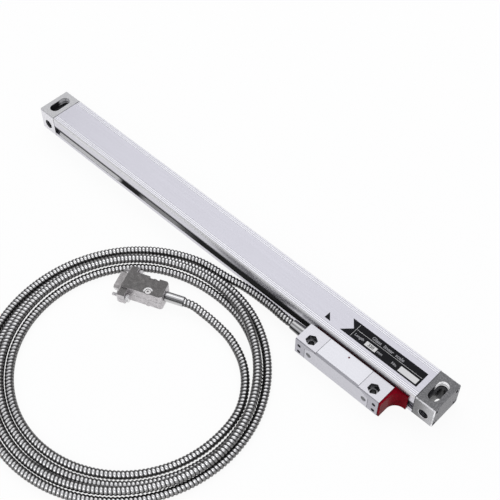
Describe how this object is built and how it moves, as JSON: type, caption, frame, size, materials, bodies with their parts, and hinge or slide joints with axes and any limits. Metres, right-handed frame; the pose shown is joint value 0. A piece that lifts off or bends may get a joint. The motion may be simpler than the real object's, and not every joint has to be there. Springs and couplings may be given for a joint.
{
  "type": "enclosed linear glass scale",
  "caption": "Sealed glass linear scale with sliding reader head, scanning carriage on rollers, armoured cable and D-sub plug.",
  "frame": {"origin": "on the flat back face of the scale housing, at mid length and mid width", "axes": "+X along the scale from the left end cap to the right one, +Y across it away from the reader head, +Z out of the back face towards the labelled face"},
  "size_m": [0.44, 0.2635, 0.022],
  "materials": {
    "anodised_housing": "satin clear anodised",
    "scale_glass": "polished float glass",
    "graduation": "evaporated chromium lines",
    "bond_line": "cured silicone",
    "seal_rubber": "smooth, slightly glossy",
    "left_cap_metal": "fine satin paint",
    "right_cap_metal": "fine satin paint",
    "gasket_rubber": "matte",
    "screw_steel": "bright zinc",
    "head_metal": "satin clear anodised",
    "cover_metal": "satin clear anodised",
    "circuit_board": "green solder mask",
    "blade_steel": "ground stainless",
    "pin_steel": "ground",
    "spring_steel": "bright drawn wire",
    "carriage_metal": "dark anodised",
    "bearing_steel": "ground and polished",
    "lamp_lens": "clear moulded",
    "lens_glass": "polished",
    "reticle_glass": "polished with chromium lines",
    "sensor_chip": "gloss",
    "red_plastic": "moulded gloss",
    "sleeve_metal": "turned, satin",
    "cable_armour": "interlocked stainless strip",
    "coil_armour": "interlocked stainless strip",
    "hood_metal": "die cast, dull",
    "shell_metal": "tin plated",
    "insulator_plastic": "glass filled",
    "contact_metal": "gold flashed",
    "knob_metal": "nickel plated"
  },
  "bodies": {
    "scale": {"scale_housing": "anodised_housing", "glass_scale": "scale_glass", "graduation_track": "graduation", "glass_bond": "bond_line", "upper_seal_lip": "seal_rubber", "lower_seal_lip": "seal_rubber", "left_end_cap": "left_cap_metal", "right_end_cap": "right_cap_metal", "left_end_gasket": "gasket_rubber", "right_end_gasket": "gasket_rubber", "left_end_screws": "screw_steel", "right_end_screws": "screw_steel"},
    "reader_head": {"head_body": "head_metal", "head_cover": "cover_metal", "cover_screws": "screw_steel", "signal_board": "circuit_board", "reader_blade": "blade_steel", "drive_pin": "pin_steel", "coupling_springs": "spring_steel", "scanning_carriage": "carriage_metal", "roller_pins": "pin_steel", "lamp_board": "circuit_board", "lamp": "lamp_lens", "collimating_lens": "lens_glass", "reticle_plate": "reticle_glass", "photodiode_array": "sensor_chip", "sensor_board": "circuit_board", "alignment_bracket": "red_plastic", "cable_sleeve": "sleeve_metal", "cable_lead_in": "cable_armour", "cable_coil": "coil_armour", "cable_lead_out": "cable_armour", "plug_sleeve": "sleeve_metal", "plug_hood_lower": "hood_metal", "plug_hood_upper": "hood_metal", "plug_shell": "shell_metal", "plug_insulator": "insulator_plastic", "plug_pins": "contact_metal", "hood_screws": "screw_steel"},
    "face_roller_left": {"face_roller_left": "bearing_steel"},
    "face_roller_middle": {"face_roller_middle": "bearing_steel"},
    "face_roller_right": {"face_roller_right": "bearing_steel"},
    "edge_roller_left": {"edge_roller_left": "bearing_steel"},
    "edge_roller_right": {"edge_roller_right": "bearing_steel"},
    "jackscrew_near": {"jackscrew_near": "knob_metal"},
    "jackscrew_far": {"jackscrew_far": "knob_metal"}
  },
  "joints": [
    {"name": "head_slide", "type": "slide", "parent": "scale", "child": "reader_head", "axis": [1, 0, 0], "range_m": [-0.3054, 0.0146]},
    {"name": "face_roller_left_spin", "type": "hinge", "parent": "reader_head", "child": "face_roller_left", "pos_m": [0.1214, 0.0018, 0.0099], "axis": [0, 1, 0], "range_deg": [-279.5, 5833]},
    {"name": "face_roller_middle_spin", "type": "hinge", "parent": "reader_head", "child": "face_roller_middle", "pos_m": [0.1454, 0.0054, 0.0099], "axis": [0, 1, 0], "range_deg": [-279.5, 5833]},
    {"name": "face_roller_right_spin", "type": "hinge", "parent": "reader_head", "child": "face_roller_right", "pos_m": [0.1694, 0.0018, 0.0099], "axis": [0, 1, 0], "range_deg": [-279.5, 5833]},
    {"name": "edge_roller_left_spin", "type": "hinge", "parent": "reader_head", "child": "edge_roller_left", "pos_m": [0.1314, -0.0031, 0.0145], "axis": [0, 0, 1], "range_deg": [-5833, 279.5]},
    {"name": "edge_roller_right_spin", "type": "hinge", "parent": "reader_head", "child": "edge_roller_right", "pos_m": [0.1594, -0.0031, 0.0145], "axis": [0, 0, 1], "range_deg": [-5833, 279.5]},
    {"name": "jackscrew_near_turn", "type": "hinge", "parent": "reader_head", "child": "jackscrew_near", "pos_m": [-0.01531, -0.09308, 0.00775], "axis": [0.9205, 0.3907, 0], "continuous": true},
    {"name": "jackscrew_far_turn", "type": "hinge", "parent": "reader_head", "child": "jackscrew_far", "pos_m": [-0.02508, -0.07007, 0.00775], "axis": [0.9205, 0.3907, 0], "continuous": true}
  ],
  "couplings": [
    {"joint": "face_roller_left_spin", "follows": "head_slide", "rad_per_m": -333.33},
    {"joint": "face_roller_middle_spin", "follows": "head_slide", "rad_per_m": -333.33},
    {"joint": "face_roller_right_spin", "follows": "head_slide", "rad_per_m": -333.33},
    {"joint": "edge_roller_left_spin", "follows": "head_slide", "rad_per_m": 333.33},
    {"joint": "edge_roller_right_spin", "follows": "head_slide", "rad_per_m": 333.33}
  ]
}
